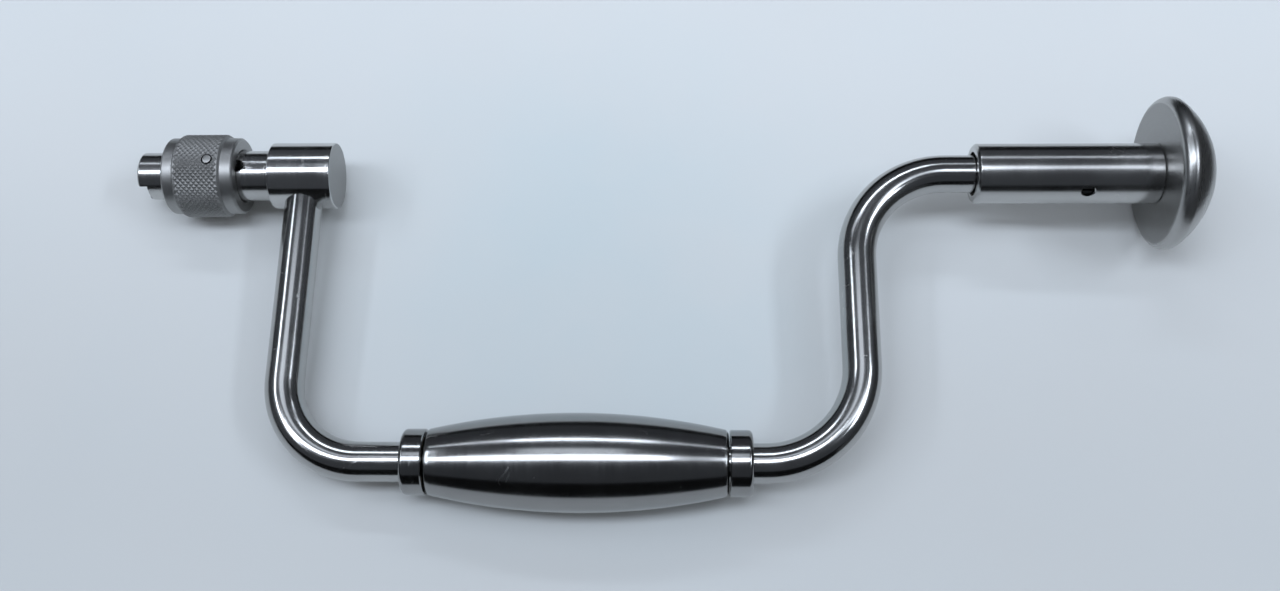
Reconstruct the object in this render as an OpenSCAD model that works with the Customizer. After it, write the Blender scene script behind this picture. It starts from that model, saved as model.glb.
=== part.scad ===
// Hand-cranked cranial drill brace with a sliding-collar chuck. Sizes in millimetres.
// The drill axis is X, with the chuck at X = 0 and the palm knob at +X.
// The crank lies in the XY plane with its grip towards -Y. Z is up as it lies on a table.

/* [Crank bar] */
// Diameter of the bent round bar
bar_d = 9.5; // [9.0:0.1:10.0]
// Distance from the drill axis to the grip axis
crank_throw = 74.8; // [68:0.2:85]
// Centre-line radius of the bend between the left arm and the grip
left_bend_r = 20; // [16:0.5:24]
// Centre-line radius of the bend between the grip and the right arm
right_bend_r = 24; // [18:0.5:26]
// Centre-line radius of the bend between the right arm and the knob's shaft
top_bend_r = 23; // [18:0.5:26]
// From the left arm's centre line to the outer face of the left grip collar
left_run = 30.9; // [27:0.1:36]
// From the outer face of the right grip collar to the right arm's centre line
right_run = 27; // [26.5:0.1:34]
// From the right arm's centre line to the mouth of the bearing sleeve
shaft_run = 30.3; // [27:0.1:36]

/* [Chuck head] */
// Diameter of the cross head that takes the bar and the chuck body
head_d = 17; // [16.5:0.1:18.5]
// Length of the cross head
head_len = 16.2; // [15.6:0.1:18]
// Edge break on the head's two ends
head_edge = 0.4; // [0.2:0.1:0.8]

/* [Chuck body] */
// Diameter of the nose in front of the locking collar
nose_d = 12.1; // [11.8:0.1:12.4]
// Diameter of the body behind the locking collar
body_d = 13; // [12.8:0.1:14]
// Length of nose that shows in front of the collar
nose_len = 7.6; // [7:0.1:9]
// Length of body that shows between the collar and the head
neck_len = 8.2; // [7.6:0.1:10]
// Diameter of the bore for the bit's shank
bit_d = 6.4; // [6.2:0.1:6.6]
// Diameter of the inner bore, past a small step, for the shank's grooved tail
tail_d = 6; // [5.8:0.1:6.0]
// Width of the driving notch in the nose
notch_w = 7.8; // [6:0.1:8.4]
// Depth of the driving notch along the axis
notch_depth = 2.4; // [1.5:0.1:3.5]
// How far the driving notch reaches in from the outside of the nose
notch_reach = 3.6; // [3.0:0.1:4.0]

/* [Locking collar] */
// Diameter over the knurl
knurl_d = 21.4; // [20.6:0.1:22.4]
// Diameter of the smooth ring at each end
ring_d = 19.6; // [18.8:0.1:20.2]
// Length of the front smooth ring
front_ring_len = 2.95; // [2.5:0.05:3.5]
// Length of the knurled band
knurl_len = 12.3; // [12:0.1:13.5]
// Length of the rear smooth ring
rear_ring_len = 3.15; // [2.5:0.05:3.6]
// How far the collar slides back to let the bit go
collar_travel = 6; // [5:0.1:6.4]
// Diameter of the cross pin that joins the collar to the plunger
pin_d = 2.9; // [2.6:0.1:3.2]
// Diameter of the pin's domed tip
pin_tip_d = 2.3; // [1.8:0.1:2.5]
// Diameter of each locking ball
ball_d = 3.7; // [3.6:0.05:3.8]
// How far the collar's inner ramp lets each ball move outwards
ball_lift = 0.8; // [0.76:0.01:0.84]
// Wire diameter of the return spring
spring_wire = 0.6; // [0.5:0.05:0.7]
// Turns of the return spring
spring_turns = 9; // [7:1:9]

/* [Grip] */
// Length of the turning barrel
grip_len = 71.8; // [66:0.2:84]
// Largest diameter of the barrel
grip_mid_d = 23.7; // [21:0.1:26]
// Diameter of the barrel at its ends
grip_end_d = 15.6; // [15.2:0.1:17]
// Edge break on the barrel's ends
grip_edge = 0.6; // [0.3:0.1:1.0]
// Diameter of the two stop collars
stop_d = 15.8; // [15:0.1:17]
// Length of each stop collar
stop_len = 5.4; // [4:0.1:7]
// Rounding of each stop collar's outer edge
stop_round = 1.1; // [0.5:0.1:1.5]
// Length of each bush in the barrel
grip_bush_len = 12; // [8:0.5:18]

/* [Palm rest] */
// Outside diameter of the bearing sleeve
sleeve_d = 15.3; // [15:0.1:16.5]
// Length of the bearing sleeve
sleeve_len = 46.1; // [44:0.1:56]
// Wall of the bearing sleeve
sleeve_wall = 1.5; // [1.4:0.1:1.6]
// Chamfer round the sleeve's mouth
mouth_chamfer = 0.7; // [0.4:0.1:0.9]
// Diameter of the opening round the shaft in the sleeve's mouth
mouth_d = 11.2; // [10.6:0.1:11.4]
// Length of the front bush
front_bush_len = 14; // [8:0.5:16]
// Length of the rear bush
rear_bush_len = 8.6; // [6:0.1:9]
// From the sleeve's mouth to the retaining screw
screw_pos = 27.5; // [25:0.1:29]
// Thread diameter of the retaining screw
screw_d = 3.2; // [3.0:0.1:3.4]
// Angle of the retaining screw round the sleeve, from +Z towards -Y
screw_angle = 59.7; // [0:0.1:180]
// Diameter of the thrust ball at the end of the shaft
thrust_ball_d = 4.76; // [4.5:0.01:5.0]
// Diameter of the palm knob
knob_d = 38.7; // [34:0.1:44]
// Height of the palm knob from its flat underside to the top of the dome
knob_height = 13.3; // [11:0.1:17]
// Rounding of the palm knob's rim
knob_rim_r = 1.6; // [1.0:0.1:2.2]

/* [Fits] */
// Radial clearance of a running or sliding fit
run_fit = 0.05; // [0.03:0.01:0.08]
// Radial clearance of a pressed or brazed fit
press_fit = 0.02; // [0.01:0.01:0.03]
// End play of the barrel at each stop collar
grip_play = 0.3; // [0.2:0.05:0.5]

/* [Hidden] */
$fn = 72;

bar_r = bar_d / 2;
nose_r = nose_d / 2;
body_r = body_d / 2;
bit_r = bit_d / 2;
tail_r = tail_d / 2;
ball_r = ball_d / 2;
pin_r = pin_d / 2;

// Places along the drill axis, from the nose to the knob
collar_x = nose_len;
knurl_x = collar_x + front_ring_len;
knurl_end = knurl_x + knurl_len;
collar_end = knurl_end + rear_ring_len;
head_x = collar_end + neck_len;
head_end = head_x + head_len;
left_arm_x = head_x + head_len / 2;
stop_left_x = left_arm_x + left_run;
barrel_x = stop_left_x + stop_len + grip_play;
stop_right_x = barrel_x + grip_len + grip_play;
right_arm_x = stop_right_x + stop_len + right_run;
sleeve_x = right_arm_x + shaft_run;
sleeve_end = sleeve_x + sleeve_len;

// Chuck: the pin sits at four parts in five of the knurl, the balls under its front end
pin_x = knurl_x + 0.75 * knurl_len;
ball_x = knurl_x + 0.3 * knurl_len;
shank_depth = ball_x - ball_r - 0.85;
bit_depth = ball_x + ball_r + 0.75;
pin_slot_w = pin_d + 0.4;
pin_slot_x = pin_x - pin_r - 0.35;
pin_slot_end = pin_x + pin_r + collar_travel + 0.4;
spring_bore_r = 2.9;
plunger_r = spring_bore_r - run_fit - 0.05;
plunger_len = 2;
plunger_x = pin_x + pin_r + 0.05;
stem_r = 1.3;
stem_len = 5.2;
spigot_r = 5;
spigot_end = left_arm_x - bar_r - 0.25;
seat_len = 1;
spring_x = plunger_x + plunger_len;
spring_end = spigot_end - seat_len;
spring_len = spring_end - spring_x;

// Collar bore: a guide on the nose, a ramp in front of it for the balls, a guide on the body
ramp = ball_lift / collar_travel;
guide_r = nose_r + run_fit;
ramp_end = ball_x + 1;
guide_end = ramp_end + 2;
body_step_x = guide_end + collar_travel + 0.3;
ramp_mouth_r = guide_r + ramp * (ramp_end - collar_x);
ball_out = guide_r + ramp * (ramp_end - ball_x) - (ball_r + run_fit) * sqrt(1 + ramp * ramp);
ball_lip = bit_r + 0.2;
ball_lip_r = sqrt(pow(ball_r + 0.04, 2) - pow(ball_out - ball_lip, 2));
knurl_edge = (knurl_d - ring_d) / 2;
pin_end = knurl_d / 2 - 0.8;
pin_top = knurl_d / 2 + 0.1;

// Grip
bush_r = bar_r + run_fit;
barrel_bore_r = grip_end_d / 2 - 1.7;
barrel_sag = (grip_mid_d - grip_end_d) / 2;
barrel_arc_r = (pow(grip_len / 2, 2) + pow(barrel_sag, 2)) / (2 * barrel_sag);
bush_recess = 0.4;

// Palm rest: lip, front bush, screw in the shaft's groove, rear bush, thrust ball and pad, knob
sleeve_bore_r = sleeve_d / 2 - sleeve_wall;
lip_len = 1.6;
front_bush_x = sleeve_x + lip_len;
screw_x = sleeve_x + screw_pos;
groove_w = 2.3;
groove_r = bar_r - 0.95;
dog_r = 0.9;
dog_end = groove_r + 0.1;
screw_top = sleeve_d / 2 - 0.7;
spigot_len = 6;
pad_len = 1;
pad_x = sleeve_end - 1.6 - pad_len;
thrust_x = pad_x - thrust_ball_d / 2 - 0.02;
bar_end = thrust_x - thrust_ball_d / 2 - 0.05;
thrust_bore_r = thrust_ball_d / 2 + run_fit;
rear_bush_x = bar_end - 0.4 - rear_bush_len;

// Knob: a rim circle that runs into the dome's sphere
knob_rim_x = knob_d / 2 - knob_rim_r;
dome_r = (pow(knob_height - knob_rim_r, 2) + pow(knob_rim_x, 2) - pow(knob_rim_r, 2))
    / (2 * (knob_height - 2 * knob_rim_r));
dome_sink = dome_r - knob_height;
dome_angle = atan2(knob_rim_x, knob_rim_r + dome_sink);

steel = [0.76, 0.77, 0.79];
dark_steel = [0.52, 0.53, 0.55];
bronze = [0.72, 0.55, 0.32];

// A turned piece about the X axis, from a profile of [radius, x] points
module turned(points) {
    rotate([0, 90, 0])
        rotate_extrude()
            polygon(points);
}

// A plain round along X
module round_x(x0, x1, r) {
    translate([x0, 0, 0])
        rotate([0, 90, 0])
            cylinder(r = r, h = x1 - x0);
}

// A quarter bend of the bar about a centre in the XY plane, from one heading to the next
module bend(cx, cy, r, start) {
    translate([cx, cy, 0])
        rotate([0, 0, start])
            rotate_extrude(angle = 90)
                translate([r, 0])
                    circle(r = bar_r);
}

// A straight of the bar along Y
module arm(x, y0, y1) {
    translate([x, y1, 0])
        rotate([90, 0, 0])
            cylinder(r = bar_r, h = y1 - y0, center = false);
}

// The one-piece crank: left arm, grip shaft, right arm and knob shaft
module crank_bar() {
    color(steel)
        difference() {
            union() {
                arm(left_arm_x, -crank_throw + left_bend_r, head_d / 2 - 4.2);
                bend(left_arm_x + left_bend_r, -crank_throw + left_bend_r, left_bend_r, 180);
                translate([0, -crank_throw, 0])
                    round_x(left_arm_x + left_bend_r, right_arm_x - right_bend_r, bar_r);
                bend(right_arm_x - right_bend_r, -crank_throw + right_bend_r, right_bend_r, 270);
                arm(right_arm_x, -crank_throw + right_bend_r, -top_bend_r);
                bend(right_arm_x + top_bend_r, -top_bend_r, top_bend_r, 90);
                turned([
                    [0, right_arm_x + top_bend_r],
                    [bar_r, right_arm_x + top_bend_r],
                    [bar_r, bar_end - 0.5],
                    [bar_r - 0.5, bar_end],
                    [0, bar_end]
                ]);
            }
            turned([
                [groove_r, screw_x - groove_w / 2],
                [bar_r + 1, screw_x - groove_w / 2],
                [bar_r + 1, screw_x + groove_w / 2],
                [groove_r, screw_x + groove_w / 2]
            ]);
        }
}

// Cross head: the bar's end enters it from the side, the chuck body from the front
module chuck_head() {
    color(steel)
        difference() {
            turned([
                [0, head_x],
                [head_d / 2 - head_edge, head_x],
                [head_d / 2, head_x + head_edge],
                [head_d / 2, head_end - head_edge],
                [head_d / 2 - head_edge, head_end],
                [0, head_end]
            ]);
            translate([left_arm_x, head_d / 2 - 4, 0])
                rotate([90, 0, 0])
                    cylinder(r = bar_r + press_fit, h = head_d);
            round_x(head_x - 1, spigot_end + 0.4, spigot_r + press_fit);
        }
}

// Chuck body: bit bore, driving notch, ball holes, pin slot and spring bore
module chuck_body() {
    color(steel)
        difference() {
            turned([
                [0, 0],
                [nose_r - 0.5, 0],
                [nose_r, 0.5],
                [nose_r, body_step_x],
                [body_r, body_step_x],
                [body_r, head_x],
                [spigot_r, head_x],
                [spigot_r, spigot_end],
                [0, spigot_end]
            ]);
            round_x(-1, shank_depth, bit_r);
            round_x(-1, bit_depth, tail_r);
            translate([-1, -nose_r - 1, -notch_w / 2])
                cube([notch_depth + 1, notch_reach + 1, notch_w]);
            for (side = [-1, 1])
                translate([ball_x, 0, 0])
                    rotate([-90 * side, 0, 0]) {
                        translate([0, 0, ball_lip])
                            cylinder(r = ball_r + run_fit, h = nose_r);
                        translate([0, 0, bit_r / 2])
                            cylinder(r = ball_lip_r, h = nose_r);
                    }
            translate([pin_slot_x + pin_slot_w / 2, 0, -body_r - 1])
                cylinder(r = pin_slot_w / 2, h = body_d + 2);
            translate([pin_slot_end - pin_slot_w / 2, 0, -body_r - 1])
                cylinder(r = pin_slot_w / 2, h = body_d + 2);
            translate([pin_slot_x + pin_slot_w / 2, -pin_slot_w / 2, -body_r - 1])
                cube([pin_slot_end - pin_slot_x - pin_slot_w, pin_slot_w, body_d + 2]);
            round_x(pin_slot_x, spigot_end + 1, spring_bore_r);
        }
}

// Knurled collar that slides on the body; its diamond knurl is cut in the visual model
module locking_collar() {
    color(steel)
        difference() {
            turned([
                [ramp_mouth_r, collar_x],
                [ring_d / 2 - 0.5, collar_x],
                [ring_d / 2, collar_x + 0.5],
                [ring_d / 2, knurl_x],
                [knurl_d / 2, knurl_x + knurl_edge * 0.8],
                [knurl_d / 2, knurl_end - knurl_edge * 0.8],
                [ring_d / 2, knurl_end],
                [ring_d / 2, collar_end - 0.5],
                [ring_d / 2 - 0.5, collar_end],
                [body_r + run_fit + 0.4, collar_end],
                [body_r + run_fit, collar_end - 0.4],
                [body_r + run_fit, guide_end],
                [guide_r, guide_end],
                [guide_r, ramp_end]
            ]);
            translate([pin_x, 0, -knurl_d])
                cylinder(r = pin_r + press_fit, h = 2 * knurl_d);
        }
}

// Cross pin with a domed tip at both ends, pressed into the collar
module collar_pin() {
    tip_r = pin_tip_d / 2;
    dome_h = 0.45;
    ball = (tip_r * tip_r + dome_h * dome_h) / (2 * dome_h);
    color(steel)
        translate([pin_x, 0, 0]) {
            translate([0, 0, -pin_end])
                cylinder(r = pin_r, h = 2 * pin_end);
            for (side = [0, 180])
                rotate([side, 0, 0])
                    intersection() {
                        translate([0, 0, pin_top - ball])
                            sphere(r = ball);
                        translate([0, 0, pin_end - 0.1])
                            cylinder(r = tip_r, h = 2);
                    }
        }
}

// Plunger that the pin pushes against the spring
module spring_plunger() {
    color(dark_steel)
        turned([
            [0, plunger_x],
            [plunger_r - 0.3, plunger_x],
            [plunger_r, plunger_x + 0.3],
            [plunger_r, spring_x],
            [stem_r, spring_x],
            [stem_r, spring_x + stem_len - 0.3],
            [stem_r - 0.3, spring_x + stem_len],
            [0, spring_x + stem_len]
        ]);
}

// Return spring: one unbroken tube of round wire along a helix, with 8 rings to the turn
spring_coil_r = spring_bore_r - spring_wire / 2 - 0.25;
spring_rings = spring_turns * 8;
spring_pitch = (spring_len - spring_wire - 0.1) / spring_turns;
function spring_point(i) = [
    spring_x + 0.05 + spring_wire / 2 + spring_pitch * i / 8,
    spring_coil_r * cos(45 * i),
    spring_coil_r * sin(45 * i)
];
function spring_ring(i) = [
    for (k = [0 : 5])
        spring_point(i)
            + spring_wire / 2 * cos(60 * k) * [0, cos(45 * i), sin(45 * i)]
            + spring_wire / 2 * sin(60 * k) * [1, 0, 0]
];
spring_gap = min([
    for (i = [0 : spring_rings - 5])
        min([
            for (j = [i + 5 : min(i + 12, spring_rings)])
                norm(spring_point(j) - spring_point(i)) - spring_wire
        ])
]);
echo(spring_least_gap = spring_gap);

module collar_spring() {
    points = [for (i = [0 : spring_rings]) each spring_ring(i)];
    last = spring_rings * 6;
    sides = [
        for (i = [0 : spring_rings - 1])
            for (k = [0 : 5])
                each [
                    [i * 6 + k, i * 6 + (k + 1) % 6, (i + 1) * 6 + k],
                    [i * 6 + (k + 1) % 6, (i + 1) * 6 + (k + 1) % 6, (i + 1) * 6 + k]
                ]
    ];
    start_cap = [for (k = [1 : 4]) [0, k + 1, k]];
    end_cap = [for (k = [1 : 4]) [last, last + k, last + k + 1]];
    color(dark_steel)
        polyhedron(points = points, faces = concat(sides, start_cap, end_cap), convexity = 10);
}

// Disc that closes the spring bore and carries the spring's rear end
module spring_seat() {
    color(dark_steel)
        round_x(spring_end, spigot_end, spring_bore_r - press_fit);
}

module locking_ball_front() {
    color(dark_steel)
        translate([ball_x, -ball_out, 0])
            sphere(r = ball_r);
}

module locking_ball_back() {
    color(dark_steel)
        translate([ball_x, ball_out, 0])
            sphere(r = ball_r);
}

// A stop collar on the grip shaft, rounded on its outer edge
module stop_collar(x, flip) {
    steps = 6;
    rounding = [
        for (i = [0 : steps])
            [
                stop_d / 2 - stop_round + stop_round * sin(90 * i / steps),
                stop_round - stop_round * cos(90 * i / steps)
            ]
    ];
    profile = concat(
        [[bar_r + press_fit, 0]],
        rounding,
        [
            [stop_d / 2, stop_len - 0.25],
            [stop_d / 2 - 0.25, stop_len],
            [bar_r + press_fit, stop_len]
        ]
    );
    translate([x + (flip ? stop_len : 0), -crank_throw, 0])
        rotate([0, flip ? 180 : 0, 0])
            turned(profile);
}

module grip_collar_left() {
    color(steel)
        stop_collar(stop_left_x, false);
}

module grip_collar_right() {
    color(steel)
        stop_collar(stop_right_x, true);
}

// Barrel with a swelling outline, bored through for its two bushes
module grip_barrel() {
    steps = 28;
    centre = grip_mid_d / 2 - barrel_arc_r;
    half = grip_len / 2;
    outline = [
        for (i = [0 : steps])
            let (x = -half + grip_edge + (grip_len - 2 * grip_edge) * i / steps)
                [centre + sqrt(barrel_arc_r * barrel_arc_r - x * x), half + x]
    ];
    profile = concat(
        [
            [barrel_bore_r, 0],
            [grip_end_d / 2 - grip_edge, 0]
        ],
        outline,
        [
            [grip_end_d / 2 - grip_edge, grip_len],
            [barrel_bore_r, grip_len]
        ]
    );
    color(steel)
        translate([barrel_x, -crank_throw, 0])
            turned(profile);
}

module bush(x, length, outer) {
    turned([
        [bush_r, x],
        [outer - 0.3, x],
        [outer, x + 0.3],
        [outer, x + length - 0.3],
        [outer - 0.3, x + length],
        [bush_r, x + length]
    ]);
}

module grip_bush_left() {
    color(bronze)
        translate([0, -crank_throw, 0])
            bush(barrel_x + bush_recess, grip_bush_len, barrel_bore_r - press_fit);
}

module grip_bush_right() {
    color(bronze)
        translate([0, -crank_throw, 0])
            bush(
                barrel_x + grip_len - bush_recess - grip_bush_len,
                grip_bush_len,
                barrel_bore_r - press_fit
            );
}

// Tube that turns on the shaft: a lip at its mouth, the bushes behind it, the knob at its end
module bearing_sleeve() {
    color(steel)
        difference() {
            turned([
                [mouth_d / 2, sleeve_x],
                [sleeve_d / 2 - mouth_chamfer, sleeve_x],
                [sleeve_d / 2, sleeve_x + mouth_chamfer],
                [sleeve_d / 2, sleeve_end - 0.3],
                [sleeve_d / 2 - 0.3, sleeve_end],
                [sleeve_bore_r, sleeve_end],
                [sleeve_bore_r, front_bush_x],
                [mouth_d / 2, front_bush_x]
            ]);
            translate([screw_x, 0, 0])
                rotate([screw_angle, 0, 0])
                    cylinder(r = screw_d / 2 + press_fit, h = sleeve_d);
        }
}

module front_bush() {
    color(bronze)
        bush(front_bush_x, front_bush_len, sleeve_bore_r - press_fit);
}

module rear_bush() {
    color(bronze)
        bush(rear_bush_x, rear_bush_len, sleeve_bore_r - press_fit);
}

// Grub screw whose dog point runs in the shaft's groove and keeps the sleeve on
module retaining_screw() {
    color(dark_steel)
        translate([screw_x, 0, 0])
            rotate([screw_angle, 0, 0])
                difference() {
                    rotate_extrude()
                        polygon([
                            [0, dog_end],
                            [dog_r, dog_end],
                            [dog_r, bar_r + 0.5],
                            [screw_d / 2, bar_r + 0.8],
                            [screw_d / 2, screw_top - 0.2],
                            [screw_d / 2 - 0.2, screw_top],
                            [0, screw_top]
                        ]);
                    translate([-screw_d, -0.28, screw_top - 0.7])
                        cube([2 * screw_d, 0.56, 1]);
                }
}

module thrust_ball() {
    color(dark_steel)
        translate([thrust_x, 0, 0])
            sphere(r = thrust_ball_d / 2);
}

// Hardened disc behind the thrust ball
module thrust_pad() {
    color(dark_steel)
        round_x(pad_x, pad_x + pad_len, thrust_bore_r - press_fit);
}

// Mushroom knob with a flat underside, a rounded rim and a spigot for the sleeve
module palm_knob() {
    rim_steps = 12;
    dome_steps = 30;
    rim = [
        for (i = [0 : rim_steps])
            let (a = 180 - (180 - dome_angle) * i / rim_steps)
                [
                    knob_rim_x + knob_rim_r * sin(a),
                    sleeve_end + knob_rim_r + knob_rim_r * cos(a)
                ]
    ];
    dome = [
        for (i = [1 : dome_steps])
            let (a = dome_angle * (1 - i / dome_steps))
                [
                    dome_r * sin(a),
                    sleeve_end - dome_sink + dome_r * cos(a)
                ]
    ];
    color(steel)
        difference() {
            union() {
                turned(concat([[0, sleeve_end]], rim, dome));
                turned([
                    [0, sleeve_end - spigot_len],
                    [sleeve_bore_r - press_fit - 0.4, sleeve_end - spigot_len],
                    [sleeve_bore_r - press_fit, sleeve_end - spigot_len + 0.4],
                    [sleeve_bore_r - press_fit, sleeve_end + 1],
                    [0, sleeve_end + 1]
                ]);
            }
            round_x(sleeve_end - spigot_len - 1, pad_x + pad_len, thrust_bore_r);
        }
}

crank_bar();
chuck_head();
chuck_body();
locking_collar();
collar_pin();
spring_plunger();
collar_spring();
spring_seat();
locking_ball_front();
locking_ball_back();
grip_collar_left();
grip_collar_right();
grip_barrel();
grip_bush_left();
grip_bush_right();
bearing_sleeve();
front_bush();
rear_bush();
retaining_screw();
thrust_ball();
thrust_pad();
palm_knob();
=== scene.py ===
from math import acos, atan2, cos, hypot, pi, radians, sin, sqrt, tan

import bmesh
import bpy
from mathutils import Matrix, Vector


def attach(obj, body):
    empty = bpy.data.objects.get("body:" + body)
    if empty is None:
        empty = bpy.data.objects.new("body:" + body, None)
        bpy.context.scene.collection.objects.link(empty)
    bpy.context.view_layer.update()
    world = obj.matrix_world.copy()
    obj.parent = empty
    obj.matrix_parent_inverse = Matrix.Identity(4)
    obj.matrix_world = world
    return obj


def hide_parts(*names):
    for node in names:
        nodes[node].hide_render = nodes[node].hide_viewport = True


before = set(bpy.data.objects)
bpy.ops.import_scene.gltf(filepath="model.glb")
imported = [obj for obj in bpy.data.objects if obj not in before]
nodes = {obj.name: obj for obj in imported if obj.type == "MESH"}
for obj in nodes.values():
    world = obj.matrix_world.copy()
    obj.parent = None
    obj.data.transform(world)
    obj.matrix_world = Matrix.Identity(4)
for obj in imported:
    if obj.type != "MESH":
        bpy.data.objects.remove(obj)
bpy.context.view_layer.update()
mm = 0.001  # every size below is in millimetres
crankThrow = 74.8  # from the drill's axis to the middle of the grip
print("frame loaded:", len(nodes), "nodes")


# Modelling helpers

def clearSelection():
    if bpy.context.object and bpy.context.object.mode == "EDIT":
        bpy.ops.object.mode_set(mode="OBJECT")
    bpy.ops.object.select_all(action="DESELECT")


def startPiece(name):  # the primitive just added gets its name and hands its place to its mesh
    piece = bpy.context.object
    piece.name = piece.data.name = name
    bpy.ops.object.transform_apply(location=True, rotation=True, scale=True)
    bpy.ops.object.mode_set(mode="EDIT")
    bpy.ops.mesh.select_mode(type="VERT")
    return piece


def pickVertices(test):
    data = bpy.context.object.data
    bpy.ops.mesh.select_mode(type="VERT")
    bpy.ops.mesh.select_all(action="DESELECT")
    mesh = bmesh.from_edit_mesh(data)
    for vertex in mesh.verts:
        vertex.select = bool(test(vertex.co / mm))
    mesh.select_flush_mode()
    bmesh.update_edit_mesh(data)


def pickEdges(test):
    data = bpy.context.object.data
    bpy.ops.mesh.select_mode(type="EDGE")
    bpy.ops.mesh.select_all(action="DESELECT")
    mesh = bmesh.from_edit_mesh(data)
    for edge in mesh.edges:
        edge.select = bool(test(edge.verts[0].co / mm, edge.verts[1].co / mm))
    mesh.select_flush_mode()
    bmesh.update_edit_mesh(data)


def pickFaces(test):
    data = bpy.context.object.data
    bpy.ops.mesh.select_mode(type="FACE")
    bpy.ops.mesh.select_all(action="DESELECT")
    mesh = bmesh.from_edit_mesh(data)
    for face in mesh.faces:
        face.select = bool(test(face.calc_center_median() / mm, face.normal))
    mesh.select_flush_mode()
    bmesh.update_edit_mesh(data)


def pushOut(x, y, z):
    bpy.ops.mesh.extrude_region_move(
        TRANSFORM_OT_translate={"value": (x * mm, y * mm, z * mm)})


def turned(name, points, centreY=0, steps=128):  # points are (x, radius), spun about a line along X
    clearSelection()
    x, radius = points[0]
    bpy.ops.mesh.primitive_plane_add(size=mm, location=(x * mm, (centreY + radius) * mm, 0))
    piece = startPiece(name)
    bpy.ops.mesh.select_all(action="SELECT")
    bpy.ops.mesh.merge(type="CENTER")
    for nextX, nextRadius in points[1:]:
        bpy.ops.mesh.extrude_vertices_move(
            TRANSFORM_OT_translate={"value": ((nextX - x) * mm, (nextRadius - radius) * mm, 0)})
        x, radius = nextX, nextRadius
    bpy.ops.mesh.select_all(action="SELECT")
    bpy.ops.mesh.spin(steps=steps, angle=2 * pi, center=(0, centreY * mm, 0), axis=(1, 0, 0))
    bpy.ops.mesh.select_all(action="SELECT")
    bpy.ops.mesh.remove_doubles(threshold=0.002 * mm)
    bpy.ops.mesh.normals_make_consistent(inside=False)
    bpy.ops.object.mode_set(mode="OBJECT")
    return piece


def applyModifier(piece, kind, **settings):
    clearSelection()
    piece.select_set(True)
    bpy.context.view_layer.objects.active = piece
    modifier = piece.modifiers.new(kind.lower(), kind)
    for key, value in settings.items():
        setattr(modifier, key, value)
    bpy.ops.object.modifier_apply(modifier=modifier.name)


def roundEdges(piece, width, segments=3, angle=30):
    applyModifier(piece, "BEVEL", width=width * mm, segments=segments, limit_method="ANGLE",
                  angle_limit=radians(angle), use_clamp_overlap=False)


def cutWith(piece, cutter):
    applyModifier(piece, "BOOLEAN", object=cutter, operation="DIFFERENCE", solver="EXACT")
    bpy.data.objects.remove(cutter)


def rod(x, y, z, radius, length, turn=(0, 0, 0), vertices=64):  # a cutter, its length along its own Z
    clearSelection()
    bpy.ops.mesh.primitive_cylinder_add(
        vertices=vertices, radius=radius * mm, depth=length * mm,
        location=(x * mm, y * mm, z * mm), rotation=[radians(a) for a in turn])
    return bpy.context.object


def brick(x, y, z, sizeX, sizeY, sizeZ, turn=(0, 0, 0)):  # a cutter
    clearSelection()
    bpy.ops.mesh.primitive_cube_add(size=1, location=(x * mm, y * mm, z * mm),
                                    rotation=[radians(a) for a in turn])
    bpy.context.object.scale = (sizeX * mm, sizeY * mm, sizeZ * mm)
    bpy.ops.object.transform_apply(location=False, rotation=False, scale=True)
    return bpy.context.object


def smoothOver(piece, angle=35):
    clearSelection()
    piece.select_set(True)
    bpy.context.view_layer.objects.active = piece
    bpy.ops.object.shade_smooth_by_angle(angle=radians(angle))
    applyModifier(piece, "WEIGHTED_NORMAL", keep_sharp=True)


def fit(piece, body, slot, *replaced):
    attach(piece, body)
    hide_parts(*replaced)


def paint(piece, material, facesWith=None):  # all over, or on the faces that pass the test
    if not piece.data.materials:
        piece.data.materials.append(material)
    if facesWith is None:
        piece.data.materials[0] = material
        return
    piece.data.materials.append(material)
    place = len(piece.data.materials) - 1
    for face in piece.data.polygons:
        if facesWith(face.center / mm, face.normal):
            face.material_index = place


# Shader helpers

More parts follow.
